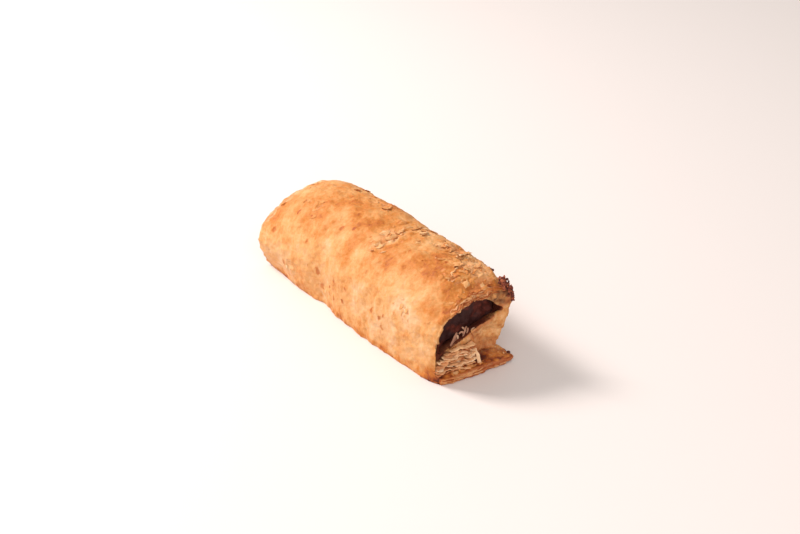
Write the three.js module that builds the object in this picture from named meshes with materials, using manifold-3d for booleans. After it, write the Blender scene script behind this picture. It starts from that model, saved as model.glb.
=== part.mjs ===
// A sausage roll: one sheet of puff pastry wrapped round a bar of sausage meat, lapped underneath and baked.
// Millimetres, +Z up. +X runs along the roll to its opened end. The lap's free edge, the seam, lies low on
// the +Y side. The origin is on the surface that the roll rests on, under the middle of its outer box.
import * as THREE from "three";
import { mergeVertices } from "three/addons/utils/BufferGeometryUtils.js";
import Module from "manifold-3d";

const { clamp, lerp, smoothstep } = THREE.MathUtils;

// Driving dimensions. "Open" is the +X end and "far" the -X end. "Front" is the -Y side, "seam" the +Y side.
const LENGTH = 140;
const HEIGHT = 43.6;
const OPEN_DROP = { depth: 8.4, reach: 21 }; // how far the crown sinks towards an end, and over what length
const FAR_DROP = { depth: 7.8, reach: 26 };
const CROWN_LEAN = 2.2; // the crown stands this much higher on the seam side and lower on the front

// Each side of the cross-section: how far it reaches from the middle plane, how high it stands widest, how
// far it draws in from there to its foot, and how square its shoulder is (2 is an ellipse, more is boxier).
const FRONT = {
  reach: { far: 25.2, middle: 23.4, open: 22.5 },
  widest: { far: 14, middle: 17, open: 22 },
  tuck: { far: 6, middle: 0.6, open: 0.4 },
  power: { far: 1.85, middle: 2.5, open: 2.1 },
};
const SEAM = {
  reach: { far: 24, middle: 23.4, open: 20 },
  widest: { far: 20, middle: 24, open: 30 },
  tuck: { far: 7, middle: 8, open: 7.5 },
  power: { far: 2.9, middle: 3.2, open: 3.8 },
};
const SIDE_CURVE = 1.4; // how a side curves in below its widest: 1 is straight
const FRONT_CORNER = { depth: 1.7, reach: 6 }; // the front side draws in at the very end of the opened end

// The lap: the outer layer of pastry under the roll. It runs out past the seam side as a ledge.
const LAP_THICKNESS = 3.2;
const LAP_EDGE = { far: 22.5, middle: 23, open: 20.5 }; // how far the ledge reaches in +Y
const LAP_ROOT = { far: -17.5, middle: -19.5, open: -20.3 }; // buried in the base, so that the lap and the wrap are one piece
const LAP_LIFT = { far: 0.5, middle: 0.8, open: 1.4 }; // how far the free edge curls up
const LAP_OVERHANG = 3; // how far it sticks out of the opened end
const SLOT_ROOT = { far: 4, middle: 9, open: -3 }; // how deep the gap over the lap reaches in from the seam
const SLOT_GAP = 2.6; // the gap's height at the seam

// The layer over the meat is thin at the front and on top and thick at the seam. The layers under the meat
// make a slab that rises towards the seam. The mouths are where the roll ends.
const CRUST = { mouth: 1.7, inside: 3 };
const SEAM_CRUST = { mouth: 8.5, inside: 6 };
const SEAM_CRUST_FROM = 2; // the crust thickens from this far across to the meat's seam edge
const SLAB_FRONT = { mouth: 13.5, inside: 7 }; // the slab's height at its front and seam edges
const SLAB_SEAM = { mouth: 25.4, inside: 13 };
const SLAB_RISE = 7; // the slab's rise begins as if this far outside its front edge
const MEAT_EDGE = { mouth: 15.4, inside: 17 }; // how far the meat reaches towards the seam
const MEAT_EDGE_HEIGHT = 1.6; // its least height, at its two edges
const MOUTH_REACH = 26; // over this length the hole narrows to its mouth
const CLEARANCE = 0.3; // between the meat and the pastry, all round
const SHRINK = { far: 5, open: 7.5 }; // how far the meat has drawn back from each end

// Gentle swells and hollows of the crust: place along x, place round the arch from the seam side (0) to the
// front (1), spread along x, spread round the arch, and height.
const SWELLS = [
  { x: -36, round: 0.42, length: 20, arc: 0.2, height: 0.6 },
  { x: -12, round: 0.3, length: 14, arc: 0.2, height: 1.3 },
  { x: 4, round: 0.42, length: 7, arc: 0.24, height: -0.9 },
  { x: 26, round: 0.34, length: 16, arc: 0.2, height: 0.4 },
  { x: -19, round: 1, length: 7.5, arc: 0.26, height: -2.4 },
  { x: 30, round: 0.95, length: 26, arc: 0.28, height: 0.8 },
  { x: -44, round: 0.97, length: 12, arc: 0.2, height: 0.6 },
  { x: 50, round: 0.72, length: 9, arc: 0.16, height: -0.7 },
  { x: 8, round: 0.1, length: 18, arc: 0.18, height: 0.4 },
];
const RIPPLE = { height: 0.22, length: 11, arc: 5 }; // fine unevenness over the whole crust

// The ends. Below the meat, on the seam side, the soft inner layer of the opened end has drawn back.
const FACE_INSET = 0.8;
const FACE_WOBBLE = 0.5;
const DRAWN_BACK = { depth: 5.5, from: -0.5, to: 2.5, low: 14, high: 25, edge: 17 };

// How finely the surfaces are divided.
const STATIONS = 36;
const ARCH_STEPS = 26;
const SIDE_STEPS = 4;
const BASE_STEPS = 12;
const CAP_RINGS = 4;
const LAP_STATIONS = 24;
const LAP_STEPS = 9;
const MEAT_STATIONS = 20;
const MEAT_STEPS = 13;
const FACE_STEPS = 24;

const HALF_LENGTH = LENGTH / 2;
const PAST_THE_END = HALF_LENGTH + 10;
const bell = (distance) => Math.exp(-distance * distance);
const steps = (count) => Array.from({ length: count + 1 }, (_, i) => i / count);
const flatFace = (reach) => (y, z, end) => end * reach;

// A value that passes smoothly through its far, middle and open values, at x.
function along({ far, middle, open }, x) {
  const share = clamp((x + HALF_LENGTH) / LENGTH, 0, 1);
  return lerp(far, open, share) + 4 * share * (1 - share) * (middle - (far + open) / 2);
}

// A value that changes from the nearer mouth to the inside, at x.
function deepening({ mouth, inside }, x) {
  return lerp(mouth, inside, smoothstep(HALF_LENGTH - Math.abs(x), 0, MOUTH_REACH));
}

// How far something of that depth has sunk at a distance from an end: fully at the end, smoothly to nothing.
function sunk({ depth, reach }, distance) {
  return depth * (1 - clamp(distance / reach, 0, 1)) ** 2;
}

// How far the crust stands proud of its plain section.
function relief(x, round) {
  const swells = SWELLS.map((s) => s.height * bell((x - s.x) / s.length) * bell((round - s.round) / s.arc));
  const lengthways = Math.sin(x / RIPPLE.length + 4 * Math.sin(RIPPLE.arc * round));
  const ripple = RIPPLE.height * lengthways * Math.sin(RIPPLE.arc * round + x / 17);
  return swells.reduce((sum, height) => sum + height, ripple);
}

function heightAt(x) {
  return HEIGHT - sunk(OPEN_DROP, HALF_LENGTH - x) - sunk(FAR_DROP, HALF_LENGTH + x);
}

function reachAt(side, x) {
  const corner = side === FRONT ? sunk(FRONT_CORNER, HALF_LENGTH - x) : 0;
  return along(side.reach, x) - corner;
}

// A point of the arch at x, as [y, z]: round runs from the seam side (0) over the crown to the front (1).
function archPoint(x, round) {
  const side = round < 0.5 ? SEAM : FRONT;
  const angle = Math.PI * round;
  const power = 2 / along(side.power, x);
  const across = Math.sign(Math.cos(angle)) * Math.abs(Math.cos(angle)) ** power;
  const up = Math.abs(Math.sin(angle)) ** power;
  const widest = along(side.widest, x);
  const proud = relief(x, round);
  const z = widest + (heightAt(x) - widest + CROWN_LEAN * across + proud) * up;
  return [reachAt(side, x) * across + proud * Math.cos(angle), z];
}

// A side at x from its foot (t = 0) to its widest (t = 1), as [distance from the middle plane, z].
function sidePoint(side, x, t) {
  const proud = side === FRONT ? relief(x, 1) : relief(x, 0) * t;
  return [reachAt(side, x) - along(side.tuck, x) * (1 - t) ** SIDE_CURVE + proud, along(side.widest, x) * t];
}

// The outline at x as [y, z] points: up the seam side, over the arch, down the front and back along the base.
function outline(x) {
  const rising = steps(SIDE_STEPS).slice(0, -1);
  const seamSide = rising.map((t) => sidePoint(SEAM, x, t));
  const arch = steps(ARCH_STEPS).map((round) => archPoint(x, round));
  const frontSide = rising.reverse().map((t) => sidePoint(FRONT, x, t)).map(([y, z]) => [-y, z]);
  const frontFoot = frontSide.at(-1)[0];
  const base = steps(BASE_STEPS).slice(1, -1).map((t) => [lerp(frontFoot, seamSide[0][0], t), 0]);
  return [...seamSide, ...arch, ...frontSide, ...base];
}

// A solid along x from ring to ring: the outline at each station, and at each end rings that shrink to the
// middle of the last outline. faceX(y, z, end) is the end's own surface, end being -1 or 1.
function loft({ from, to, stations, outlineAt, faceX }) {
  const place = ([y, z], share) => [lerp(faceX(y, z, -1), faceX(y, z, 1), share), y, z];
  const body = steps(stations).map((share) => outlineAt(lerp(from, to, share)).map((point) => place(point, share)));
  const cap = (ring, share) => {
    const middle = [1, 2].map((k) => ring.reduce((sum, point) => sum + point[k], 0) / ring.length);
    return steps(CAP_RINGS)
      .slice(1)
      .map((inward) => ring.map(([, y, z]) => place([lerp(y, middle[0], inward), lerp(z, middle[1], inward)], share)));
  };
  return closedSurface([...cap(body[0], 0).reverse(), ...body, ...cap(body.at(-1), 1)]);
}

// The surface over rings of points, all of one length. The first and the last ring have shrunk to a point.
function closedSurface(rings) {
  const size = rings[0].length;
  const faces = [];
  for (let r = 0; r + 1 < rings.length; r++) {
    for (let i = 0; i < size; i++) {
      const a = r * size + i;
      const b = r * size + ((i + 1) % size);
      faces.push(a, b, b + size, a, b + size, a + size);
    }
  }
  const geometry = new THREE.BufferGeometry();
  geometry.setAttribute("position", new THREE.Float32BufferAttribute(rings.flat(2), 3));
  geometry.setIndex(faces);
  return geometry;
}

// The pastry's two ends, a little uneven. The opened one dips where the soft layer has drawn back.
function pastryFace(y, z, end) {
  const wobble = FACE_WOBBLE * Math.sin(y / 3.1 + z / 4.3) * Math.cos(z / 3.7 - y / 8);
  const inset = FACE_INSET - wobble;
  if (end < 0) return inset - HALF_LENGTH;
  const { depth, from, to, low, high, edge } = DRAWN_BACK;
  const dip = smoothstep(y, from, to) * (1 - 0.7 * smoothstep(y, edge / 2, edge)) * (1 - smoothstep(z, low, high));
  return HALF_LENGTH - inset - depth * dip;
}

// The lap, as an outline at x: a flat tongue that thins and curls up at its free edge.
function lapOutline(x) {
  const edge = along(LAP_EDGE, x) + 0.7 * Math.sin(x / 9) + 0.4 * Math.sin(x / 4.1 + 1);
  const top = [];
  const under = [];
  for (const t of steps(LAP_STEPS)) {
    const y = lerp(along(LAP_ROOT, x), edge, t);
    const rise = along(LAP_LIFT, x) * smoothstep(t, 0.75, 1.1);
    under.push([y, rise]);
    top.push([y, rise + LAP_THICKNESS * (1 - 0.45 * smoothstep(t, 0.9, 1))]);
  }
  return [...under, ...top.reverse()];
}

// The lap's ends: it sticks out of the opened end, least at the front.
function lapFace(y, z, end) {
  const reach = LAP_OVERHANG * smoothstep(y, LAP_ROOT.open - 8, LAP_ROOT.open + 8) - 0.4 * Math.sin(y / 2.3) ** 2;
  return end > 0 ? HALF_LENGTH + reach : FACE_INSET - HALF_LENGTH - reach / 2;
}

// The gap over the lap, as an outline at x: a wedge that opens towards the seam and past it.
function slotOutline(x) {
  const root = along(SLOT_ROOT, x);
  const outside = 2 * SEAM.reach.middle;
  const roof = [];
  const floor = [];
  for (const t of steps(6)) {
    const y = lerp(root, outside, t);
    floor.push([y, LAP_THICKNESS - 0.05]);
    roof.push([y, LAP_THICKNESS + 0.25 + SLOT_GAP * smoothstep(y, root, SEAM.reach.open)]);
  }
  return [...floor, ...roof.reverse()];
}

// How high the outer surface of the arch stands at x, y across, swells left out and hollows counted.
function archHeight(x, y) {
  const side = y > 0 ? SEAM : FRONT;
  const power = along(side.power, x);
  const across = clamp(Math.abs(y) / reachAt(side, x), 0, 1);
  const widest = along(side.widest, x);
  const lean = CROWN_LEAN * (y / reachAt(side, x));
  const hollow = Math.min(relief(x, Math.acos(Math.sign(y) * across) / Math.PI), 0);
  return widest + (heightAt(x) - widest + lean) * (1 - across ** power) ** (1 / power) + hollow;
}

// The bar of meat at x, or with no gap the hole that holds it: its floor on the slab, its roof under the arch.
function meatOutline(x, gap) {
  const crust = deepening(CRUST, x);
  const seamEdge = deepening(MEAT_EDGE, x);
  const frontEdge = crust - reachAt(FRONT, x) - Math.min(relief(x, 1), 0);
  const halfSpan = (seamEdge - frontEdge) / 2;
  const inwards = (across) => frontEdge + halfSpan + (across - frontEdge - halfSpan) * (1 - gap / halfSpan);
  const floor = [];
  const roof = [];
  for (const t of steps(MEAT_STEPS)) {
    const across = lerp(frontEdge, seamEdge, (1 - Math.cos(Math.PI * t)) / 2);
    const slope = smoothstep(across, frontEdge - SLAB_RISE, seamEdge + 2);
    const low = lerp(deepening(SLAB_FRONT, x), deepening(SLAB_SEAM, x), slope);
    const thick = lerp(crust, deepening(SEAM_CRUST, x), smoothstep(across, SEAM_CRUST_FROM, seamEdge));
    const high = archHeight(x, across * (1 + crust / reachAt(FRONT, x))) - thick;
    floor.push([inwards(across), low + gap]);
    roof.push([inwards(across), Math.max(high, low + MEAT_EDGE_HEIGHT) - gap]);
  }
  return [...floor, ...roof.reverse()];
}

// The meat's rough ends.
function meatFace(y, z, end) {
  const rough = 0.5 * Math.sin(y / 1.9) * Math.cos(z / 2.3) + 0.3 * Math.sin(z + y / 3);
  const shrink = end > 0 ? SHRINK.open : SHRINK.far;
  return end * (HALF_LENGTH - shrink - FACE_INSET + rough);
}

const wasm = await Module();
wasm.setup();

// A closed geometry as a solid that can be joined and cut.
function solid(geometry) {
  const merged = mergeVertices(geometry, 1e-4);
  const vertProperties = merged.attributes.position.array;
  const triVerts = new Uint32Array(merged.index.array);
  return new wasm.Manifold(new wasm.Mesh({ numProp: 3, vertProperties, triVerts }));
}

// A solid back as a geometry.
function geometryOf(made) {
  const { numProp, vertProperties, triVerts } = made.getMesh();
  const geometry = new THREE.BufferGeometry();
  geometry.setAttribute("position", new THREE.BufferAttribute(new Float32Array(vertProperties), numProp));
  geometry.setIndex(new THREE.BufferAttribute(new Uint32Array(triVerts), 1));
  geometry.computeVertexNormals();
  return geometry;
}

// A cutter that runs past both ends of the roll.
function cutter(stations, outlineAt) {
  const faceX = flatFace(PAST_THE_END);
  return solid(loft({ from: -PAST_THE_END, to: PAST_THE_END, stations, outlineAt, faceX }));
}

// The pastry: the wrap and its lap as one piece, cut by the gap over the lap and by the hole for the meat.
function pastry() {
  const ends = { from: -HALF_LENGTH, to: HALF_LENGTH };
  const wrap = solid(loft({ ...ends, stations: STATIONS, outlineAt: outline, faceX: pastryFace }));
  const lap = solid(loft({ ...ends, stations: LAP_STATIONS, outlineAt: lapOutline, faceX: lapFace }));
  const slot = cutter(LAP_STATIONS, slotOutline);
  const hole = cutter(MEAT_STATIONS, (x) => meatOutline(x, 0));
  return geometryOf(wrap.subtract(slot).add(lap).subtract(hole));
}

// The meat: the hole's own shape, smaller by the clearance, cut off at its rough ends.
function meat() {
  const bar = cutter(MEAT_STATIONS, (x) => meatOutline(x, CLEARANCE));
  const outlineAt = () => steps(FACE_STEPS).slice(1).map((turn) => roundPoint(2 * Math.PI * turn));
  const span = solid(loft({ from: -1, to: 1, stations: 1, outlineAt, faceX: meatFace }));
  return geometryOf(bar.intersect(span));
}

// A point of a circle that takes in the whole cross-section, as [y, z].
function roundPoint(angle) {
  return [HEIGHT * Math.cos(angle), HEIGHT * (0.5 + Math.sin(angle))];
}

function mesh(name, geometry, color, roughness) {
  const made = new THREE.Mesh(geometry, new THREE.MeshStandardMaterial({ color, roughness, metalness: 0 }));
  made.name = name;
  return made;
}

const roll = new THREE.Group();
roll.add(mesh("pastry", pastry(), 0xdf9a52, 0.6));
roll.add(mesh("sausage_meat", meat(), 0x4a2a22, 0.75));

// The finished roll is slid sideways until the origin is under the middle of its outer box.
const box = new THREE.Box3().setFromObject(roll);
const middle = box.getCenter(new THREE.Vector3());
roll.position.set(-middle.x, -middle.y, -box.min.z);

export default roll;
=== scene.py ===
# %% [markdown]
# # A baked sausage roll
# This file builds the looks of one sausage roll around a fixed frame: two closed solids, the pastry and
# the meat, that already have their true sizes. The pastry is copied from its solid, divided finely and
# then worked like dough: swollen, folded, cracked, blistered and torn, with plain arithmetic on arrays of
# points. Loose things, such as flakes, shreds and crumbs, are small closed meshes that rest on it.
#
# Blender works in metres, so lengths for it are written as a number times MM. Arrays of places that are
# called p hold millimetres instead, because the sizes of folds and crumbs are easier to read that way.

# %% Load the frame
import math
from collections import namedtuple

import bmesh
import bpy
import numpy as np
from mathutils import Matrix, Vector
from mathutils.bvhtree import BVHTree


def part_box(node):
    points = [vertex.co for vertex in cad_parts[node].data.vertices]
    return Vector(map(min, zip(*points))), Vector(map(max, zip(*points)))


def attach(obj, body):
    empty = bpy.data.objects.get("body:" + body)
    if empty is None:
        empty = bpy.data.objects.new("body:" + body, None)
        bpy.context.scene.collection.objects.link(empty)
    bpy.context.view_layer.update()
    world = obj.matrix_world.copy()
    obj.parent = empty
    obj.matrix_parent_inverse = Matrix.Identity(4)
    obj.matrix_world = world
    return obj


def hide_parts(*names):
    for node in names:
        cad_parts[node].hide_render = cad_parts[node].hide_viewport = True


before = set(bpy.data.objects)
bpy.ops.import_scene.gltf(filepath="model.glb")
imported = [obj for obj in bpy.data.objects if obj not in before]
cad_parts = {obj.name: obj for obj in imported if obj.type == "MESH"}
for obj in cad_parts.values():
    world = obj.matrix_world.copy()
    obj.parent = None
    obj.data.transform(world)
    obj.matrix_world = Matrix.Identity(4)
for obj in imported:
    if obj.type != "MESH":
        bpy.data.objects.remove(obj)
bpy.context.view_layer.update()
MM = 0.001
low, high = (np.array(corner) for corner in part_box("pastry"))
print("pastry box in mm:", np.round(low / MM, 1), np.round(high / MM, 1))

# %% [markdown]
# ## The camera
# The roll is seen from its front corner and from above, with its opened end nearest. A long lens from
# some 80 cm away keeps its long edges nearly parallel. A camera could be turned by hand with three
# angles. Here it is placed by the direction that it looks from, as an azimuth and an elevation, by the
# point that it aims at, and by a slight roll, because those are what one can judge by eye.

# %% Place the camera
AZIMUTH = math.radians(52.8)
ELEVATION = math.radians(27.6)
TILT = math.radians(-1.5)
DISTANCE = 795 * MM
AIM = Vector((4.5 * MM, 6.3 * MM, 23 * MM))
FOCAL_LENGTH = 76.5
SENSOR_WIDTH = 36


def turned_camera(azimuth, elevation, tilt, aim, distance):
    """The world matrix of a camera that looks at aim from that direction."""
    back = Vector((
        math.sin(azimuth) * math.cos(elevation),
        -math.cos(azimuth) * math.cos(elevation),
        math.sin(elevation),
    ))
    level_right = Vector((math.cos(azimuth), math.sin(azimuth), 0))
    level_up = back.cross(level_right)
    right = level_right * math.cos(tilt) - level_up * math.sin(tilt)
    up = back.cross(right)
    axes = Matrix((right, up, back)).transposed().to_4x4()
    return Matrix.Translation(aim + back * distance) @ axes


camera = bpy.data.objects.new("camera", bpy.data.cameras.new("camera"))
camera.data.lens = FOCAL_LENGTH
camera.data.sensor_width = SENSOR_WIDTH
camera.data.clip_start = 0.01
camera.matrix_world = turned_camera(AZIMUTH, ELEVATION, TILT, AIM, DISTANCE)
bpy.context.scene.collection.objects.link(camera)
bpy.context.scene.camera = camera
print("camera at", [round(value, 3) for value in camera.matrix_world.translation])

# %% [markdown]
# ## Noise on arrays of points
# Baked dough is uneven at every size. Blender has noise textures, but a real bump has to be in the mesh
# if it is to show in the outline, so the noise is worked out here for all points at once. Each corner of
# a lattice gets a random height from its own numbers, and a point between corners gets a smooth mixture.
# The last number in a call is the seed. The same seed always gives the same surface, and two effects
# only need different seeds to be independent of each other.

# %% A repeatable random number
HASH_PRIMES = (73856093, 19349663, 83492791)
SEED_PRIME = 668265263
STIRS = (1274126177, 2246822519)
WORD = 0xFFFFFFFF


def hashed(cell, seed):
    """A repeatable random number from 0 to 1 for each row of whole numbers."""
    mixed = np.full(len(cell), seed * SEED_PRIME & WORD, np.uint64)
    for axis, prime in enumerate(HASH_PRIMES):
        mixed ^= cell[:, axis].astype(np.int64).astype(np.uint64) * np.uint64(prime)
    mixed &= np.uint64(WORD)
    mixed = (mixed ^ (mixed >> np.uint64(13))) * np.uint64(STIRS[0]) & np.uint64(WORD)
    mixed = (mixed ^ (mixed >> np.uint64(15))) * np.uint64(STIRS[1]) & np.uint64(WORD)
    return (mixed ^ (mixed >> np.uint64(16))).astype(float) / WORD


print("four random numbers:", np.round(hashed(np.arange(12).reshape(4, 3), 1), 2))

# %% [markdown]
# Adding finer and weaker copies of a noise gives a fractal, which suits crumbs and rough breaks. Distance
# to the nearest of many scattered centres gives round cushions with creases between them instead.

# %% Noise, fractals and cells
CUBE_CORNERS = [np.array((i >> 2 & 1, i >> 1 & 1, i & 1)) for i in range(8)]
SEED_SHIFT = 3.17


def noise(points, size, seed):
    """Smooth noise from -1 to 1 whose bumps are about size across. size may differ by axis."""
    place = points / np.asarray(size, float) + seed * SEED_SHIFT
    cell = np.floor(place).astype(np.int64)
    inside = place - cell
    inside = inside * inside * (3 - 2 * inside)
    total = np.zeros(len(points))
    for corner in CUBE_CORNERS:
        weight = np.where(corner, inside, 1 - inside).prod(1)
        total += weight * hashed(cell + corner, seed)
    return 2 * total - 1


def fractal(points, size, seed, octaves=3):
    """Noise with finer copies, each half as large and half as strong."""
    size = np.asarray(size, float)
    return sum(noise(points, size / 2**k, seed + k) / 2**k for k in range(octaves))


def cells(points, size, seed):
    """Distance to the nearest of many scattered centres, 0 at a centre to about 1 between them."""
    place = points / np.asarray(size, float)
    home = np.floor(place).astype(np.int64)
    nearest = np.full(len(points), np.inf)
    for i in range(27):
        cell = home + np.array((i // 9 - 1, i // 3 % 3 - 1, i % 3 - 1))
        centre = cell + np.stack([hashed(cell, seed + k) for k in range(3)], 1)
        nearest = np.minimum(nearest, np.linalg.norm(centre - place, axis=1))
    return nearest


line_of_points = np.outer(np.arange(5), (1, 0, 0))
print("noise along a line:", np.round(noise(line_of_points, 2.5, 1), 2))

# %% Soft edges
def step(value, start, end):
    """0 before start, 1 after end and smooth between them. start may be the larger one."""
    t = np.clip((value - start) / (end - start), 0, 1)
    return t * t * (3 - 2 * t)


def bell(distance, width):
    """1 at no distance, falling smoothly away over width."""
    return np.exp(-((distance / width) ** 2))


print("a soft step:", np.round(step(np.linspace(0, 1, 5), 0, 1), 2))

# %% [markdown]
# ## Dividing a solid finely
# The frame's solids have flat facets a few millimetres across. Subdividing them would keep their long thin
# triangles, so a voxel remesh is used, which gives an even skin of tiny squares. It is applied on a copy,
# and the frame's own solid stays as it is.

# %% Remesh a copy
VOXEL = 0.6 * MM


def finely(node, name, voxel):
    """A new object with the node's shape as an even mesh of small squares."""
    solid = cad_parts[node]
    rough = bpy.data.objects.new(name + "_rough", solid.data.copy())
    bpy.context.scene.collection.objects.link(rough)
    remesh = rough.modifiers.new("remesh", "REMESH")
    remesh.mode = "VOXEL"
    remesh.voxel_size = voxel
    bpy.context.view_layer.update()
    graph = bpy.context.evaluated_depsgraph_get()
    mesh = bpy.data.meshes.new_from_object(rough.evaluated_get(graph))
    mesh.name = name
    mesh.materials.clear()
    bpy.data.objects.remove(rough)
    fine = bpy.data.objects.new(name, mesh)
    bpy.context.scene.collection.objects.link(fine)
    return fine


pastry = finely("pastry", "baked_pastry", VOXEL)
print("pastry points:", len(pastry.data.vertices))

# %% Arrays from a mesh and back
def points_of(mesh):
    """The mesh's points as an array with a row for each."""
    flat = np.empty(len(mesh.vertices) * 3)
    mesh.vertices.foreach_get("co", flat)
    return flat.reshape(-1, 3)


def set_points(mesh, points):
    """Moves the mesh's points to those places."""
    mesh.vertices.foreach_set("co", np.ascontiguousarray(points).ravel())
    mesh.update()


def normals_of(mesh):
    """The direction that the surface faces at each point."""
    flat = np.empty(len(mesh.vertices) * 3)
    mesh.vertex_normals.foreach_get("vector", flat)
    return flat.reshape(-1, 3)


def edges_of(mesh):
    """The two point numbers of each edge."""
    flat = np.empty(len(mesh.edges) * 2, np.int64)
    mesh.edges.foreach_get("vertices", flat)
    return flat.reshape(-1, 2)


edges = edges_of(pastry.data)
print("pastry edges:", len(edges))

# %% [markdown]
# ## Smoothing the facets away
# In each round, every point moves towards the mean of its neighbours, as if it hung on springs. After
# some fifty rounds the facets are gone. A weight for each point keeps thin edges, such as the crust's rim,
# from shrinking. Blender's own smoothing has no such weight without a vertex group, so this is simpler.

# %% Smooth by neighbours
def relaxed(values, edges, rounds, weight):
    """Each value drawn towards the mean of its neighbours, round after round."""
    count = np.bincount(edges.ravel(), minlength=len(values)).astype(float)
    weight = np.broadcast_to(weight, len(values))
    values = values.reshape(len(values), -1).copy()
    for _ in range(rounds):
        for k in range(values.shape[1]):
            total = np.bincount(edges[:, 0], values[edges[:, 1], k], len(values))
            total += np.bincount(edges[:, 1], values[edges[:, 0], k], len(values))
            values[:, k] += weight * (total / count - values[:, k])
    return values


spike = relaxed(np.array([0.0, 1.0, 0.0]), np.array([(0, 1), (1, 2)]), 1, 0.5)
print("a spike of 1 after one round:", spike.ravel())

# %% [markdown]
# ## Which part of the pastry is which
# One mesh holds the outer crust, the ledge of the lap, the two torn ends, the flat base and the inside of
# the hole. Each is shaped and coloured in its own way, so each point gets a weight for each region,
# worked out from its place and from the way that it faces.

# %% Mark the regions
AXIS_Z = 22 * MM
LAP_TOP = 3.6 * MM
LAP_OVERHANG = 3 * MM
FACE_X = high[0] - LAP_OVERHANG
FAR_X = low[0] + 1.5 * MM


def past_ends(points):
    """How far each point lies past the nearer end's face, negative inside the roll."""
    return np.maximum(points[:, 0] - FACE_X, FAR_X - points[:, 0])


def regions_of(points, normals):
    """Weights from 0 to 1 for crust, face, lap, base and hole, for each point."""
    outwards = points * (0, 1, 1) - (0, 0, AXIS_Z)
    outwards /= np.linalg.norm(outwards, axis=1, keepdims=True) + 1e-9
    facing_out = (outwards * normals).sum(1)
    facing_along = np.abs(normals[:, 0])
    lap = step(points[:, 2], LAP_TOP + 1 * MM, LAP_TOP) * step(points[:, 1], 8 * MM, 12 * MM)
    base = step(-normals[:, 2], 0.7, 0.95) * step(points[:, 2], 2.5 * MM, 1 * MM)
    face = step(facing_along, 0.55, 0.85) * step(past_ends(points), -9 * MM, -5 * MM)
    crust = step(facing_out, 0.0, 0.35) * (1 - face) * (1 - lap) * (1 - base)
    hole = step(-facing_out, -0.1, 0.25) * (1 - face) * (1 - lap) * (1 - base)
    return {"crust": crust, "face": face, "lap": lap, "base": base, "hole": hole}


points = points_of(pastry.data)
regions = regions_of(points, normals_of(pastry.data))
print("points by region:", {name: int(weight.sum()) for name, weight in regions.items()})

# %% Smooth the pastry
EVERYWHERE = {"rounds": 6, "weight": 0.35}
AWAY_FROM_EDGES = {"rounds": 50, "weight": 0.5}
near_end = step(past_ends(points), -7 * MM, -2.5 * MM)
low_down = step(points[:, 2], 7 * MM, 4 * MM)
steady = np.maximum.reduce([near_end, regions["face"], low_down])
points = relaxed(points, edges, EVERYWHERE["rounds"], EVERYWHERE["weight"])
points = relaxed(points, edges, AWAY_FROM_EDGES["rounds"], AWAY_FROM_EDGES["weight"] * (1 - steady))
set_points(pastry.data, points)
print("points held steady:", int((steady > 0.5).sum()))

# %% [markdown]
# ## Places on the crust
# Blisters, flakes and crumbs all need a place on the crust. A place is named by how far along the roll it
# is and by an angle round it, from the seam side (0) over the crown (90) to the front (180). A ray from
# outside towards the roll's middle line finds the surface there. The ends slant, so a ray can pass beyond
# them. It then starts again a little nearer to the middle.

# %% Find places on a surface
RAY_START = 100 * MM


def surface_of(obj):
    """The object's mesh as a tree that rays and nearest points can be asked of."""
    obj.data.calc_loop_triangles()
    triangles = [tuple(triangle.vertices) for triangle in obj.data.loop_triangles]
    return BVHTree.FromPolygons([tuple(point) for point in points_of(obj.data)], triangles)


def place_on(tree, x, angle):
    """The surface point, in metres, at x mm along and at that angle in degrees, and its normal."""
    turn = math.radians(angle)
    outwards = Vector((0, math.cos(turn), math.sin(turn)))
    point = None
    while point is None:
        start = Vector((x * MM, 0, AXIS_Z)) + outwards * RAY_START
        point, normal, _, _ = tree.ray_cast(start, -outwards)
        x *= 0.98
    if normal.dot(outwards) < 0:
        normal = -normal
    return point, normal


def angle_of(p):
    """Each point's angle round the roll in degrees, from -90 to 270. p is in mm."""
    return np.degrees(np.arctan2(p[:, 2] - AXIS_Z / MM, p[:, 1]) + math.pi / 2) % 360 - 90


plain_surface = surface_of(pastry)
crown, _ = place_on(plain_surface, 0, 90)
print("crown height in mm:", round(crown.z / MM, 1))

# %% [markdown]
# ## Patches of the crust
# Flaking and browning both come in patches. A patch has a middle, given as a place on the crust, a reach
# along the roll in mm and round it in degrees, and an amount. It fades from its middle as a bell does.

# %% Patches
Patch = namedtuple("Patch", "x angle along around amount")


def near_patch(p, patch):
    """1 in the middle of a patch, falling away along the roll and round it. p is in mm."""
    return bell(p[:, 0] - patch.x, patch.along) * bell(angle_of(p) - patch.angle, patch.around)


print("a patch has:", Patch._fields)

# %% [markdown]
# ## Swelling the crust
# Puff pastry rises in soft pillows. It is pulled into broad folds that slant across the roll, with a fine
# crease here and there, and into shallow wrinkles. The lap, pinched underneath, bubbles up in smaller
# beads, and the torn faces are rough. Each is noise of its own size, pushed along the normals.

# %% Sizes and heights of the unevenness
GRAIN_SIZES = {
    "lump": 17,
    "pillow": (6.5, 5.2, 5.2),
    "fold": (4.2, 20, 20),
    "crease": (6, 16, 16),
    "wrinkle": (1.9, 8, 8),
    "puff": 2.3,
    "rim": 1.7,
    "bead": 2.4,
    "lap": 5,
    "tear": 3.2,
    "bulge": 7,
    "hole": 4,
}
RISES = {
    "lump": 0.55,
    "pillow": 0.8,
    "fold": 0.6,
    "crease": -0.3,
    "wrinkle": 0.36,
    "puff": 0.3,
    "rim": 0.35,
    "bead": 0.55,
    "lap": 0.25,
    "tear": 0.75,
    "bulge": 0.4,
    "hole": 0.3,
}
FOLD_SLANT = 0.25
print("kinds of unevenness:", len(RISES))

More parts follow.
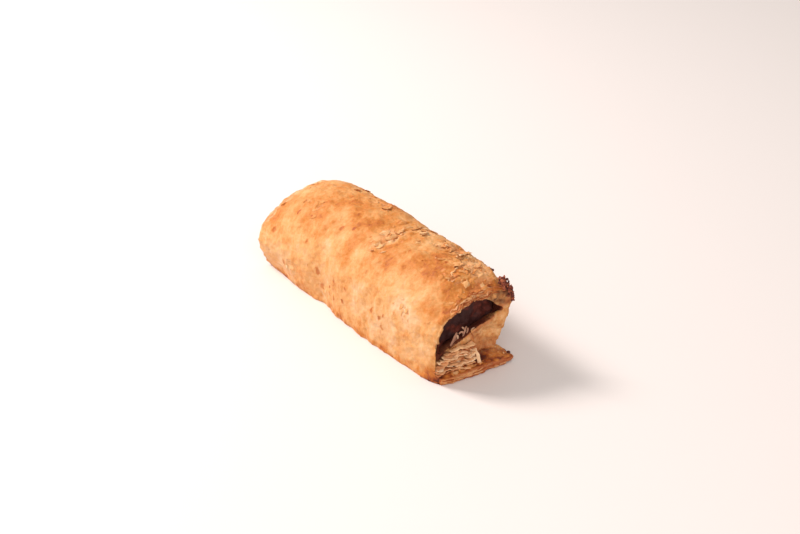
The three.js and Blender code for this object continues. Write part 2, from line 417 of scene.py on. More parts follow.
# %% Pillows, wrinkles and folds
def pillows(p):
    """Rounded cushions, from about -0.5 between them to 0.5 on top."""
    warped = p + 1.2 * np.stack([noise(p, 5, seed) for seed in (11, 12, 13)], 1)
    return 0.5 - cells(warped, GRAIN_SIZES["pillow"], 21)


def warped_across(p):
    """The points with their place along the roll shifted, so that wrinkles across it wander."""
    return p + np.outer(2.5 * noise(p, 9, 32), (1, 0, 0))


def slanted_folds(p):
    """Broad folds across the nearer half of the roll, from -1 to 1, and nearness to a crease."""
    slanted = warped_across(p) - np.outer(FOLD_SLANT * p[:, 1], (1, 0, 0))
    share = step(p[:, 0], -5, 15) * step(noise(p, 16, 33), -0.5, 0.3)
    fold = share * noise(slanted, GRAIN_SIZES["fold"], 43)
    broken = step(noise(p, 5, 45), -0.3, 0.4)
    crease = share * bell(noise(slanted, GRAIN_SIZES["crease"], 44), 0.1) * broken
    return fold, crease


def near_rim(p):
    """1 at the rims of both ends, falling to 0 some 8 mm from them."""
    opened = step(p[:, 0], FACE_X / MM - 8, FACE_X / MM - 1)
    far = step(p[:, 0], low[0] / MM + 8, low[0] / MM + 1)
    return np.maximum(opened, far)


print("share of points near a rim:", round(float((near_rim(points / MM) > 0.5).mean()), 2))

# %% [markdown]
# ## Adding the heights up
# Each region takes its own sum, times its weight, so neighbours blend where regions meet. The heights of
# the pillows are kept, because what stands highest in the oven browns first. The heights of the folds and
# the nearness to their creases are kept too, to paint shade into the creases and light on the fold tops.

# %% Swell the pastry
def grains(p, kind, seed, octaves):
    """Fractal noise of that kind's size and height, in mm."""
    return RISES[kind] * fractal(p, GRAIN_SIZES[kind], seed, octaves)


def swelling(p, regions):
    """How far each point rises, in mm. p is in mm."""
    fold, crease = slanted_folds(p)
    wrinkled = step(noise(p, 14, 31), -0.2, 0.6)
    crust = grains(p, "lump", 1, 2) + RISES["pillow"] * pillows(p)
    crust += RISES["fold"] * fold + RISES["crease"] * crease
    crust += wrinkled * RISES["wrinkle"] * noise(warped_across(p), GRAIN_SIZES["wrinkle"], 41)
    crust += grains(p, "puff", 51, 2)
    crust += RISES["rim"] * near_rim(p) * fractal(p, GRAIN_SIZES["rim"], 52, 2)
    heights = {
        "crust": crust,
        "lap": RISES["bead"] * (0.5 - cells(p, GRAIN_SIZES["bead"], 61)) + grains(p, "lap", 62, 2),
        "face": grains(p, "tear", 71, 3) + grains(p, "bulge", 72, 1),
        "hole": grains(p, "hole", 81, 2),
    }
    return sum(regions[name] * height for name, height in heights.items())


points = points_of(pastry.data)
normals = normals_of(pastry.data)
regions = regions_of(points, normals)
rise = swelling(points / MM, regions)
points = points + normals * (rise * MM)[:, None]
pillow_height = pillows(points / MM)
# These are kept only to paint shade into the creases of the folds and light on the fold tops.
fold_height, crease_share = slanted_folds(points / MM)
print("rise in mm:", round(rise.min(), 2), "to", round(rise.max(), 2))

# %% [markdown]
# ## Flaked patches
# Where the top leaves of pastry have flaked off, the crust steps down by a leaf's thickness at a ragged,
# slightly lifted edge. Cutting such edges by hand would take long. A contour line of noise is ragged in
# the same way, so the crust drops wherever noise plus the patch's amount passes a limit.

# %% Flake the crust
LEAF = 0.42
FLAKY = [
    Patch(8, 100, 8, 26, 1.15),
    Patch(36, 62, 10, 16, 1.1),
    Patch(55, 60, 11, 20, 1.2),
    Patch(54, 98, 7, 12, 0.85),
    Patch(66, 72, 4, 20, 0.9),
    Patch(-18, 60, 12, 10, 0.8),
    Patch(-44, 118, 8, 12, 0.75),
    Patch(-44, 203, 6, 8, 0.85),
    Patch(-30, 24, 20, 12, 0.78),
    Patch(26, 12, 18, 12, 0.78),
]
SECOND_LEAF = 0.4


def flaked(p, regions):
    """How far past a flake's edge each point is: over 0 the top leaf is gone, then the next."""
    amount = np.zeros(len(p))
    for patch in FLAKY:
        amount = np.maximum(amount, patch.amount * near_patch(p, patch))
    slivers = fractal(warped_across(p), (1.8, 6, 6), 91, 3)
    return slivers * 0.62 + 1.5 * amount * regions["crust"] - 1.0


p = points / MM
past_edge = flaked(p, regions)
worn = -LEAF * (step(past_edge, 0, 0.05) + step(past_edge, SECOND_LEAF, SECOND_LEAF + 0.06))
worn += 0.3 * bell(past_edge + 0.05, 0.05) * (past_edge > -0.2)
print("points flaked:", int((past_edge > 0).sum()))

# %% [markdown]
# ## Cracks
# The crust cracked across the roll where it bent as it rose. A crack is a narrow bell-shaped groove along
# a line that wanders, with a lip on its far side where the top leaf has lifted. Each row below gives the
# crack's place along the roll, where it starts and ends across it, and the height of its lip, in mm.

# %% Crack the crust
Crack = namedtuple("Crack", "x start end lip")
CRACKS = [Crack(9, -14, 11, 0.45), Crack(2, 6, 16, 0.3), Crack(58.5, -3, 7, 0.3)]
CRACKS += [Crack(44, 6, 14, 0.25), Crack(35, 9, 17, 0.3)]
CRACK_DEPTH = 0.6
CRACK_WIDTH = 0.45


def cracked(p):
    """Depth of the cracks and height of the lip on their far side, in mm."""
    depth = np.zeros(len(p))
    lip = np.zeros(len(p))
    across = p * (0, 1, 1)
    for k, crack in enumerate(CRACKS):
        wander = 1.6 * noise(across, 6, 101 + k) + 0.5 * noise(across, 1.5, 111 + k)
        ahead = p[:, 0] - crack.x - wander
        within = step(p[:, 1], crack.start, crack.start + 4) * step(p[:, 1], crack.end, crack.end - 4)
        within = within * step(p[:, 2], 26, 30)
        depth = np.maximum(depth, CRACK_DEPTH * within * bell(ahead, CRACK_WIDTH))
        lip = np.maximum(lip, crack.lip * within * step(ahead, 0.2, -0.3) * step(ahead, -7, -0.5))
    return depth, lip


crack_depth, crack_lip = cracked(p)
print("points cracked:", int((crack_depth > 0.2).sum()))

# %% [markdown]
# ## Blisters
# Blisters are small pits with a dark ring, where butter boiled through. The larger ones are placed by
# their x, angle and size, and some twenty stray small ones are scattered. Noise bends their outlines,
# so that no two look stamped with the same tool.

# %% Blister the crust
BLISTERS = [
    (-49, 205, 1.5), (-23, 194, 1.2), (-21, 210, 1.1), (-8, 190, 0.8), (1.5, 188, 0.7), (-1, 205, 0.8),
    (23, 191, 0.9), (29, 194, 0.9), (31, 201, 1), (30, 208, 0.8), (32, 188, 0.6), (-17, 125, 0.9),
    (-48, 137, 0.8), (-38, 133, 0.8), (-60, 175, 1.1), (-10, 118, 0.7), (14, 152, 0.7), (47, 196, 0.7),
    (44, 170, 0.5), (46, 173, 0.45), (48, 168, 0.5), (45, 178, 0.4), (49, 175, 0.4), (47, 164, 0.4),
]
STRAY_BLISTERS = 20


def stray_blister(chance):
    """The x, angle and size of a small blister anywhere on the crown or the front."""
    return chance.uniform(-64, 64), chance.uniform(10, 215), chance.uniform(0.3, 0.7)


def blistered(p, tree):
    """How deep in a blister's pit, and how near its dark ring, each point is, from 0 to 1."""
    chance = np.random.default_rng(5)
    pit = np.zeros(len(p))
    ring = np.zeros(len(p))
    uneven = noise(p, 1.1, 131)
    strays = [stray_blister(chance) for _ in range(STRAY_BLISTERS)]
    for x, angle, size in BLISTERS + strays:
        centre, _ = place_on(tree, x, angle)
        offset = p - np.array(centre) / MM
        offset[:, 0] *= chance.uniform(1, 1.8)
        distance = np.linalg.norm(offset, axis=1) * (1 + 0.6 * uneven)
        strength = chance.uniform(0.4, 1)
        pit = np.maximum(pit, strength * bell(distance, size * 0.8))
        ring = np.maximum(ring, strength * bell(distance - size, size * 0.5))
    return pit, ring


blister_pit, blister_ring = blistered(p, plain_surface)
worn += regions["crust"] * (crack_lip - crack_depth + 0.2 * blister_ring - 0.5 * blister_pit)
points = points + normals * (worn * MM)[:, None]
print("blisters:", len(BLISTERS) + STRAY_BLISTERS)

# %% [markdown]
# ## The torn end
# At the opened end, the layers under the meat show as a torn slab on the front side. Its solid face is
# pushed back a little here, so that the loose layers, made further on, can stand in front of it with dark
# gaps between them. The mouth above it closes to a thin wedge at the seam side, so its floor and roof are
# drawn together there. The frame's box ends at the floor, so no point may sink below it.

# %% Shape the torn end
SLAB_DEPTH = 2.4 * MM
SLAB_SEAM_Y = 1.5 * MM
SLAB_FRONT_FADE = (-22 * MM, -20 * MM)
SLAB_BOTTOM = 3.4 * MM
SLAB_TOP_FADE = (21 * MM, 19 * MM)
WEDGE_Z = 26.8
WEDGE_REACH = 4.5
WEDGE_SHARE = 0.85
SLACK = 0.8 * MM


def slab_share(points):
    """1 on the torn slab of the opened end's face, 0 elsewhere."""
    x, y, z = points.T
    share = step(y, SLAB_SEAM_Y, SLAB_SEAM_Y - 1.5 * MM) * step(y, *SLAB_FRONT_FADE)
    share = share * step(z, SLAB_BOTTOM, SLAB_BOTTOM + 0.8 * MM)
    return share * step(z, *SLAB_TOP_FADE) * step(x, FACE_X - 5 * MM, FACE_X - 3 * MM)


def pinch(p):
    """How far each point moves up, in mm, to close the mouth to a thin wedge at its seam side."""
    above = p[:, 2] - WEDGE_Z
    share = step(p[:, 1], 8, 15.5) * step(p[:, 1], 21, 18) * step(p[:, 0], 63.5, 66.5)
    return -WEDGE_SHARE * share * above * bell(above, WEDGE_REACH)


points[:, 0] -= SLAB_DEPTH * slab_share(points) * regions["face"]
points[:, 2] += MM * pinch(points / MM)
points[:, 2] = np.maximum(points[:, 2], 0)
points = np.clip(points, low - SLACK, high + SLACK)
set_points(pastry.data, points)
pastry.data.shade_smooth()
print("box after shaping in mm:", np.round(points.min(0) / MM, 1), np.round(points.max(0) / MM, 1))

# %% [markdown]
# ## Browning, with painted shading
# How far the crust browned depends on where it is: the crown, the rims and the foot get the most heat, the
# shoulder near the opened end stayed pale, and pillow tops are darker than the creases between them.
# Painted shade darkens the creases of the folds and the cracks, and painted light makes the fold tops
# paler. A texture can't know all that, so one number for each point, from 0, cream, to 1, burnt, is worked
# out here and stored on the mesh, where the material reads it.

# %% How brown each place is
WARM_PATCHES = [
    Patch(20, 128, 9, 16, 0.14),
    Patch(-14, 92, 14, 22, 0.09),
    Patch(66, 68, 4.5, 20, 0.28),
    Patch(40, 110, 22, 12, 0.1),
    Patch(50, 88, 14, 18, 0.14),
    Patch(-63, 165, 5, 22, 0.2),
    Patch(66, 222, 5, 8, 0.3),
    Patch(-52, 95, 12, 24, -0.1),
    Patch(-45, 170, 16, 26, 0.09),
    Patch(43, 164, 5.5, 13, -0.28),
    Patch(42, 170, 24, 30, -0.07),
    Patch(-30, 160, 22, 18, -0.08),
]
PLAIN_BROWN = 0.28
CROWN_BROWN = 0.18
FOOT_BROWN = 0.14


def browning_and_shading(p):
    """How far each point of the crust is browned, from 0 to 1, with painted shade in the creases of the
    folds and painted light on their tops. p is in mm.
    """
    brown_and_shading = PLAIN_BROWN + CROWN_BROWN * step(angle_of(p), 190, 125) + FOOT_BROWN * step(p[:, 2], 5, 1)
    for patch in WARM_PATCHES:
        brown_and_shading += patch.amount * near_patch(p, patch)
    brown_and_shading += near_rim(p) * (0.12 + 0.2 * noise(p, 1.6, 122))
    brown_and_shading += 0.25 * step(p[:, 2], 9, 3) * step(noise(p, 2.2, 124), -0.2, 0.7)
    brown_and_shading += 0.15 * fractal(p, (7, 10, 10), 121, 3)
    # Painted shade makes the creases of the folds darker, and painted light makes the fold tops paler.
    brown_and_shading += 0.16 * pillow_height + 0.12 * crease_share - 0.08 * fold_height
    return brown_and_shading


p = points / MM
# The blisters' dark rings are their own colour, but the cracks are darkened as painted shade in their
# grooves.
brown_and_shading = browning_and_shading(p) + 0.3 * blister_ring + 0.3 * crack_depth
print("mean browning of the crust:", round(float(np.average(brown_and_shading, weights=regions["crust"])), 2))

# %% [markdown]
# ## Crust or crumb
# The torn faces and the hole show soft crumb, not crust. The top of the lap sticks out of the opened end
# as a small browned ledge, which counts as crust again. Peeled places show the leaf under the top one.

# %% Tell crust from crumb
ledge = step(normals_of(pastry.data)[:, 2], 0.2, 0.6) * step(p[:, 2], 6, 4.6)
ledge *= step(p[:, 0], FACE_X / MM - 6, FACE_X / MM - 4)
ledge *= step(p[:, 0], high[0] / MM - 0.6, high[0] / MM - 1.6)
brown_and_shading += 0.12 * ledge - 0.1 * regions["lap"] + 0.2 * regions["base"]
crumb = np.clip(regions["face"] + regions["hole"], 0, 1) * (1 - ledge)
peeled = step(past_edge, -0.01, 0.04) * (0.75 + 0.25 * step(past_edge, SECOND_LEAF + 0.02, 0.3))
print("share of points that are crumb:", round(float(crumb.mean()), 2))

# %% [markdown]
# ## Juice stains and painted shade on the crumb
# The crumb is painted almost black deeper in the hole, as painted shade, and a painted shadow line lies in
# the gap over the lap. The pinched upper seam-side corner has painted shade in its crevice, and the low
# front
# corner is darkened too. The far end's face has uneven juice stains. Elsewhere the crumb blushes reddish
# brown:
# towards the lap, along the hole's lip and, unevenly, at the far end. Both are masks from 0 to 1, made of
# soft steps and noise.

# %% Where painted shade and juice darken the crumb
def juice_and_shade(p):
    """How dark the crumb is at each point: painted shade in the hole, in the gap over the lap and in the
    pinched corner, a darker low front corner, and juice stains at the far end. p is in mm.
    """
    x, y, z = p.T
    near = x > 0
    near_face = regions["face"] * near
    into = np.where(near, FACE_X / MM - x, x - low[0] / MM)
    pale_sill = step(y, -9, -3) * near
    # Painted shade: the hole darkens deeper in, and on the pale sill it starts further in.
    hole = regions["hole"] * step(into + 0.8 * noise(p, 3, 141), 0.6 * pale_sill - 0.5, 1 + 2 * pale_sill)
    # Painted shade in the crevice of the pinched upper seam-side corner.
    corner = near_face * bell(y - 15, 9) * step(z, 27.5, 32) * (0.7 + 0.7 * noise(p, 1.6, 142))
    # A painted shadow line in the gap over the lap.
    gap = near_face * bell(z - 4.6 - 0.02 * y, 0.6) * step(y, -21, -18)
    low_corner = near_face * step(y, -11, -15) * step(z, 9.5, 11) * step(z, 24, 18)
    # Uneven juice stains on the far end's face.
    far_sides = regions["face"] * (1 - near) * step(fractal(p, (9, 4, 1.4), 151, 3), 0, 0.9) * 0.5
    return np.clip(np.maximum.reduce([hole, corner, gap, low_corner, far_sides]), 0, 1)


def blush(p):
    """How reddish the crumb is at each point. p is in mm."""
    x, y, z = p.T
    low_down = 0.65 * step(z + 0.5 * y + 2 * noise(p, 3, 161), 21, 10) * step(y, 1, 4)
    lip = regions["hole"] + 0.6 * bell(z - 17 - 0.75 * y, 2.5) * step(y, -4, 2)
    lap_edge = 0.3 * step(z, 4.4, 3.6)
    far = 0.35 + 0.3 * noise(p, 8, 162)
    return np.clip(np.where(x > 0, low_down + lip + lap_edge, far), 0, 1)


print("mean stain on the crumb:", round(float(np.average(juice_and_shade(p), weights=crumb)), 2))

# %% Store what the material reads
def store(mesh, name, values):
    """Keeps one number for each point under that name."""
    attribute = mesh.attributes.new(name, "FLOAT", "POINT")
    attribute.data.foreach_set("value", np.ascontiguousarray(values, np.float32))


STORED = {
    # Browning, with painted shade in fold creases and cracks and painted light on fold tops.
    "brown_and_shading": np.clip(brown_and_shading, 0, 1),
    "peeled": peeled * (1 - crumb),
    "crumb": crumb,
    "blister": np.clip(blister_pit + 0.6 * blister_ring, 0, 1),
    "blush": blush(p),
    # Painted shade in the mouth, with juice stains at the far end.
    "juice_and_shade": juice_and_shade(p),
}
for name, values in STORED.items():
    store(pastry.data, name, values)
print("stored on the pastry:", list(STORED))

# %% [markdown]
# ## Colours and nodes
# Colours are given as a screen shows them and turned into the linear values that light is worked out in.
# A material is a tree of nodes. Making each by hand takes several lines, so one helper makes a node and
# fills or links its inputs, and a few shorter ones are named for what they do.

# %% Make colours and nodes
def colour(red, green, blue):
    """A linear colour from the values, 0 to 255, that a screen shows."""
    shares = [value / 255 for value in (red, green, blue)]
    return [s / 12.92 if s <= 0.04045 else ((s + 0.055) / 1.055) ** 2.4 for s in shares] + [1]


def add(tree, kind, inputs=(), **settings):
    """A node of that kind. inputs maps a socket's name or number to a value or to a socket to link."""
    node = tree.nodes.new(kind)
    for name, value in settings.items():
        setattr(node, name, value)
    for name, value in dict(inputs).items():
        if isinstance(value, bpy.types.NodeSocket):
            tree.links.new(value, node.inputs[name])
        else:
            node.inputs[name].default_value = value
    return node


def new_material(name):
    """A material with an empty tree and a shader wired to its output."""
    material = bpy.data.materials.new(name)
    material.use_nodes = True
    tree = material.node_tree
    tree.nodes.clear()
    shader = add(tree, "ShaderNodeBsdfPrincipled")
    add(tree, "ShaderNodeOutputMaterial", {"Surface": shader.outputs[0]})
    return material, tree, shader


print("middle grey in linear light:", round(colour(128, 128, 128)[0], 2))

# %% Mix, add and read values
def mix(tree, factor, first, second):
    """Two colours mixed by a factor."""
    return add(tree, "ShaderNodeMix", {0: factor, 6: first, 7: second}, data_type="RGBA").outputs[2]


def maths(tree, operation, first, second, clamp=False):
    """One sum on two numbers."""
    node = add(tree, "ShaderNodeMath", {0: first, 1: second}, operation=operation, use_clamp=clamp)
    return node.outputs[0]


def plus(tree, base, value, share, clamp=False):
    """base plus a share of value."""
    return maths(tree, "ADD", base, maths(tree, "MULTIPLY", value, share), clamp)


def attribute(tree, name):
    """A number that was stored on the mesh."""
    return add(tree, "ShaderNodeAttribute", attribute_name=name).outputs["Fac"]


def ramp(tree, factor, stops):
    """A colour ramp through (position, colour) stops."""
    node = add(tree, "ShaderNodeValToRGB", {0: factor})
    elements = node.color_ramp.elements
    while len(elements) < len(stops):
        elements.new(0.5)
    for element, (position, value) in zip(elements, stops):
        element.position = position
        element.color = value
    return node.outputs[0]


print("materials so far:", len(bpy.data.materials))

# %% [markdown]
# ## Effects that materials share
# Two effects serve several materials, so each is a node group, built once with named inputs: "mottle" is
# a soft mask of patches, longer round the roll than along it, and "crumb_relief" is the height of fine
# crumbs and shallow pits, for a bump. Their sizes are in millimetres.

# %% Build the shared effects
def effect(name, inputs, build):
    """A node group with those named number inputs. build(tree, sockets) returns what it puts out."""
    group = bpy.data.node_groups.new(name, "ShaderNodeTree")
    for label, value in inputs.items():
        socket = group.interface.new_socket(name=label, in_out="INPUT", socket_type="NodeSocketFloat")
        socket.default_value = value
    entry = group.nodes.new("NodeGroupInput")
    results = build(group, entry.outputs)
    leave = group.nodes.new("NodeGroupOutput")
    for label, result in results.items():
        group.interface.new_socket(name=label, in_out="OUTPUT", socket_type="NodeSocketFloat")
        group.links.new(result, leave.inputs[label])
    return group


def build_mottle(tree, sockets):
    """Soft patches: Size in mm, Contrast from 0 to 3."""
    place = add(tree, "ShaderNodeTexCoord").outputs["Object"]
    place = add(tree, "ShaderNodeMapping", {"Vector": place, "Scale": (1, 0.75, 0.75)}).outputs["Vector"]
    scale = maths(tree, "DIVIDE", 1000.0, sockets["Size"])
    inputs = {"Vector": place, "Scale": scale, "Detail": 5.0, "Roughness": 0.6}
    texture = add(tree, "ShaderNodeTexNoise", inputs)
    centred = maths(tree, "SUBTRACT", texture.outputs["Fac"], 0.5)
    strong = maths(tree, "MULTIPLY", centred, sockets["Contrast"])
    return {"Mask": maths(tree, "ADD", strong, 0.5, clamp=True)}


def build_relief(tree, sockets):
    """Fine crumbs and shallow pits: Size in mm."""
    place = add(tree, "ShaderNodeTexCoord").outputs["Object"]
    scale = maths(tree, "DIVIDE", 1000.0, sockets["Size"])
    inputs = {"Vector": place, "Scale": scale, "Detail": 6.0, "Roughness": 0.65}
    grain = add(tree, "ShaderNodeTexNoise", inputs)
    wider = maths(tree, "MULTIPLY", scale, 0.6)
    pits = add(tree, "ShaderNodeTexVoronoi", {"Vector": place, "Scale": wider})
    return {"Height": plus(tree, grain.outputs["Fac"], pits.outputs["Distance"], 0.5)}


MOTTLE = effect("mottle", {"Size": 6, "Contrast": 1.5}, build_mottle)
RELIEF = effect("crumb_relief", {"Size": 1}, build_relief)
print("shared effects:", MOTTLE.name, "and", RELIEF.name)

# %% Place the shared effects
def mottle(tree, size, contrast):
    """The mask of soft patches."""
    return add(tree, "ShaderNodeGroup", {"Size": size, "Contrast": contrast}, node_tree=MOTTLE).outputs[0]


def relief(tree, size, strength, distance):
    """The bumped normal of fine crumbs."""
    height = add(tree, "ShaderNodeGroup", {"Size": size}, node_tree=RELIEF).outputs["Height"]
    bump = add(tree, "ShaderNodeBump", {"Strength": strength, "Distance": distance, "Height": height})
    return bump.outputs["Normal"]


print("times the shared effects are placed:", MOTTLE.users + RELIEF.users)

# %% [markdown]
# ## The crust's material
# One material covers the whole pastry. The stored browning, with its painted shading and with mottling at
# three sizes, picks a colour from cream over gold and amber to burnt brown. Peeled places show the paler
# leaf below.
# The torn ends show crumb in tan and beige, with a blush, and blisters, juice stains and painted shade in
# the mouth darken what they cover. The crust has a slight sheen of butter, and the crumb has none. A little
# light scatters inside, as in all dough.

# %% Name the baked colours
CREAM = colour(227, 184, 142)
GOLD = colour(217, 157, 98)
AMBER = colour(201, 122, 53)
BROWN = colour(160, 78, 32)
BURNT = colour(84, 32, 18)
LEAF_PALE = colour(232, 174, 120)
LEAF_DEEP = colour(210, 128, 70)
CRUMB_DEEP = colour(178, 108, 62)
CRUMB_TAN = colour(206, 144, 86)
CRUMB_PALE = colour(225, 174, 122)
CRUMB_RED = colour(170, 86, 52)
BLISTER = colour(168, 78, 36)
# This dark colour is painted shade in the mouth and the colour of the juice stains at the far end.
JUICE_AND_SHADE = colour(82, 30, 18)
CRUST_STOPS = [(0.0, CREAM), (0.33, GOLD), (0.6, AMBER), (0.84, BROWN), (1, BURNT)]
LEAF_STOPS = [(0.3, LEAF_PALE), (0.75, LEAF_DEEP)]
CRUMB_STOPS = [(0.1, CRUMB_DEEP), (0.45, CRUMB_TAN), (0.9, CRUMB_PALE)]
print("colours from pale to burnt:", len(CRUST_STOPS))

# %% Make the crust material
Mottling = namedtuple("Mottling", "size contrast share")
MOTTLINGS = [Mottling(5.5, 1.6, 0.26), Mottling(1.7, 1.5, 0.3), Mottling(0.8, 2.5, 0.1)]
# The blisters are their own colour; the second row is painted shade in the mouth, with juice stains at the
# far end.
STAINS_AND_SHADE = [("blister", 0.8, BLISTER), ("juice_and_shade", 0.96, JUICE_AND_SHADE)]
BLUSH_SHARE = 0.85


def crust_colour(tree):
    """The colour of crust, peeled leaves, crumb, stains and painted shade together."""
    brown_and_shading = attribute(tree, "brown_and_shading")
    for size, contrast, share in MOTTLINGS:
        centred = maths(tree, "SUBTRACT", mottle(tree, size, contrast), 0.5)
        brown_and_shading = plus(tree, brown_and_shading, centred, share)
    top_leaf = ramp(tree, brown_and_shading, CRUST_STOPS)
    next_leaf = ramp(tree, brown_and_shading, LEAF_STOPS)
    shade = mix(tree, attribute(tree, "peeled"), top_leaf, next_leaf)
    crumb = ramp(tree, mottle(tree, 2.2, 2.4), CRUMB_STOPS)
    crumb = mix(tree, maths(tree, "MULTIPLY", attribute(tree, "blush"), BLUSH_SHARE), crumb, CRUMB_RED)
    shade = mix(tree, attribute(tree, "crumb"), shade, crumb)
    # Blisters, painted shade and juice stains darken the colour in turn.
    for name, share, darkening in STAINS_AND_SHADE:
        shade = mix(tree, maths(tree, "MULTIPLY", attribute(tree, name), share), shade, darkening)
    return shade


def crust_material():
    """The look of the whole pastry."""
    material, tree, shader = new_material("baked_crust")
    tree.links.new(crust_colour(tree), shader.inputs["Base Color"])
    tree.links.new(plus(tree, 0.5, attribute(tree, "crumb"), 0.4, clamp=True), shader.inputs["Roughness"])
    tree.links.new(relief(tree, 1.3, 1, 0.5 * MM), shader.inputs["Normal"])
    shader.inputs["Specular IOR Level"].default_value = 0.2
    shader.inputs["Subsurface Weight"].default_value = 0.08
    shader.inputs["Subsurface Scale"].default_value = 1.5 * MM
    return material


pastry.data.materials.append(crust_material())
print("materials:", [material.name for material in pastry.data.materials])

# %% [markdown]
# ## The filling
# The minced meat is copied from its solid in the same way and roughened with lumps of two sizes. All of
# them go inwards, so that it stays clear of the pastry round it. Its opened end is drawn a little nearer
# to the mouth, where it fills the view. It is coloured almost black where it is bare, with reddish fat.

# %% Mince the meat
MEAT_FORWARD = 2.2 * MM
COARSE_MINCE = {"size": 3.4, "depth": 1.3}
FINE_MINCE = {"size": 1.4, "depth": 0.5}
DENTS = {"size": 6, "depth": 0.4}
SKIN = 0.25

meat = finely("sausage_meat", "minced_meat", VOXEL)
points = relaxed(points_of(meat.data), edges_of(meat.data), 4, 0.4)
set_points(meat.data, points)
p = points / MM
points[:, 0] += MEAT_FORWARD * step(p[:, 0], 50, 60)
mince = COARSE_MINCE["depth"] * np.clip(cells(p, COARSE_MINCE["size"], 201), 0, 1)
mince += FINE_MINCE["depth"] * np.clip(cells(p, FINE_MINCE["size"], 202), 0, 1)
mince += DENTS["depth"] * np.abs(noise(p, DENTS["size"], 203))
inwards = np.clip(mince - SKIN, 0, None) * MM
set_points(meat.data, points - normals_of(meat.data) * inwards[:, None])
meat.data.shade_smooth()
store(meat.data, "fat", step(fractal(p, 5, 211, 3), 0.1, 0.9))
print("meat points:", len(meat.data.vertices))

# %% Make the meat's material
LEAN = colour(54, 23, 20)
FAT = colour(108, 44, 30)


def meat_material():
    """Nearly black mince with reddish fat, glossier in patches."""
    material, tree, shader = new_material("baked_mince")
    fat = maths(tree, "MULTIPLY", attribute(tree, "fat"), mottle(tree, 1.6, 2.5))
    tree.links.new(mix(tree, fat, LEAN, FAT), shader.inputs["Base Color"])
    tree.links.new(plus(tree, 0.45, mottle(tree, 3, 2), 0.4, clamp=True), shader.inputs["Roughness"])
    tree.links.new(relief(tree, 1.2, 0.7, 0.4 * MM), shader.inputs["Normal"])
    shader.inputs["Specular IOR Level"].default_value = 0.25
    return material


meat.data.materials.append(meat_material())
print("materials:", [material.name for material in meat.data.materials])

# %% [markdown]
# ## Piles of small shapes
# Flakes, leaves, shreds and crumbs number in the hundreds. An object for each would be slow and hard to
# handle, so many small closed shapes are gathered into one mesh for each kind. Each shape keeps a tone of
# its own, a number that its material turns into a colour.

# %% Gather shapes in a pile
class Pile:
    """Many small closed shapes that become one mesh."""

    def __init__(self):
        self.points = []
        self.faces = []
        self.tones = []

    def lay(self, points, faces, tone):
        """Adds one shape."""
        first = sum(len(part) for part in self.points)
        self.points.append(np.asarray(points))
        self.faces += [tuple(first + corner for corner in face) for face in faces]
        self.tones += [tone] * len(points)

    def piece(self, name, material):
        """The object that holds all the shapes."""
        mesh = bpy.data.meshes.new(name)
        mesh.from_pydata(np.concatenate(self.points).tolist(), [], self.faces)
        store(mesh, "tone", np.array(self.tones))
        mesh.materials.append(material)
        mesh.shade_smooth()
        obj = bpy.data.objects.new(name, mesh)
        bpy.context.scene.collection.objects.link(obj)
        print(name, "has", len(mesh.polygons), "faces")
        return obj


print("shapes in a new pile:", len(Pile().points))

# %% [markdown]
# ## Thin leaves
# A leaf starts as a grid of points with a ragged outline. The grid is copied half a thickness to each
# side and closed along its rim, which makes a closed solid. Blender's Solidify does the same for one
# object, but here hundreds of leaves with different thicknesses go into one mesh.

# %% Close a sheet
RIM_THINNING = 0.3


def sheet(grid, thickness):
    """Points and faces of a closed thin solid round a grid of shape rows, columns, 3."""
    rows, columns = grid.shape[:2]
    normal = np.cross(np.gradient(grid, axis=0), np.gradient(grid, axis=1))
    normal /= np.linalg.norm(normal, axis=2, keepdims=True) + 1e-12
    half = np.full((rows, columns, 1), thickness / 2)
    half[[0, -1]] *= RIM_THINNING
    half[:, [0, -1]] *= RIM_THINNING
    points = np.concatenate([(grid + normal * half).reshape(-1, 3), (grid - normal * half).reshape(-1, 3)])
    count = rows * columns
    faces = []
    for i in range(rows - 1):
        for j in range(columns - 1):
            a = i * columns + j
            quad = (a, a + columns, a + columns + 1, a + 1)
            faces.append(quad)
            faces.append(tuple(count + corner for corner in reversed(quad)))
    rim = list(range(columns))
    rim += [i * columns + columns - 1 for i in range(1, rows)]
    rim += [(rows - 1) * columns + j for j in range(columns - 2, -1, -1)]
    rim += [i * columns for i in range(rows - 2, 0, -1)]
    for here, there in zip(rim, rim[1:] + rim[:1]):
        faces.append((here, there, count + there, count + here))
    return points, faces


small_grid = np.array([[(i, j, 0.0) for j in range(3)] for i in range(3)])
print("faces of a sheet round a grid of 3 by 3:", len(sheet(small_grid, 0.1)[1]))

# %% Make a leaf's material
def leaf_material(name, stops, grain):
    """Torn pastry: a tone for each leaf picks its colour, with mottling over it."""
    material, tree, shader = new_material(name)
    tone = plus(tree, attribute(tree, "tone"), mottle(tree, grain, 1.6), 0.3)
    tree.links.new(ramp(tree, tone, stops), shader.inputs["Base Color"])
    tree.links.new(plus(tree, 0.6, tone, 0.2, clamp=True), shader.inputs["Roughness"])
    tree.links.new(relief(tree, 0.7, 0.5, 0.15 * MM), shader.inputs["Normal"])
    shader.inputs["Specular IOR Level"].default_value = 0.25
    return material


print("times the shared effects are placed so far:", MOTTLE.users + RELIEF.users)

# %% [markdown]
# ## Torn layers in the slab
# Puff pastry parts into leaves when it is torn. The slab below the meat shows them edge on, uneven,
# touching here and parted there. Each leaf is a wavy strip that reaches from the carved face out to about
# the old one. Leaves above each other share most of their wave, so that they lie together like pages.

# %% Lay the torn layers
LAYERS = 13
LAYER_PITCH = 0.82
LOWEST_LAYER = 4.3
ALONG_POINTS = 44
DEPTH_POINTS = 5
REACH = 2.6
tear_chance = np.random.default_rng(11)
torn = Pile()


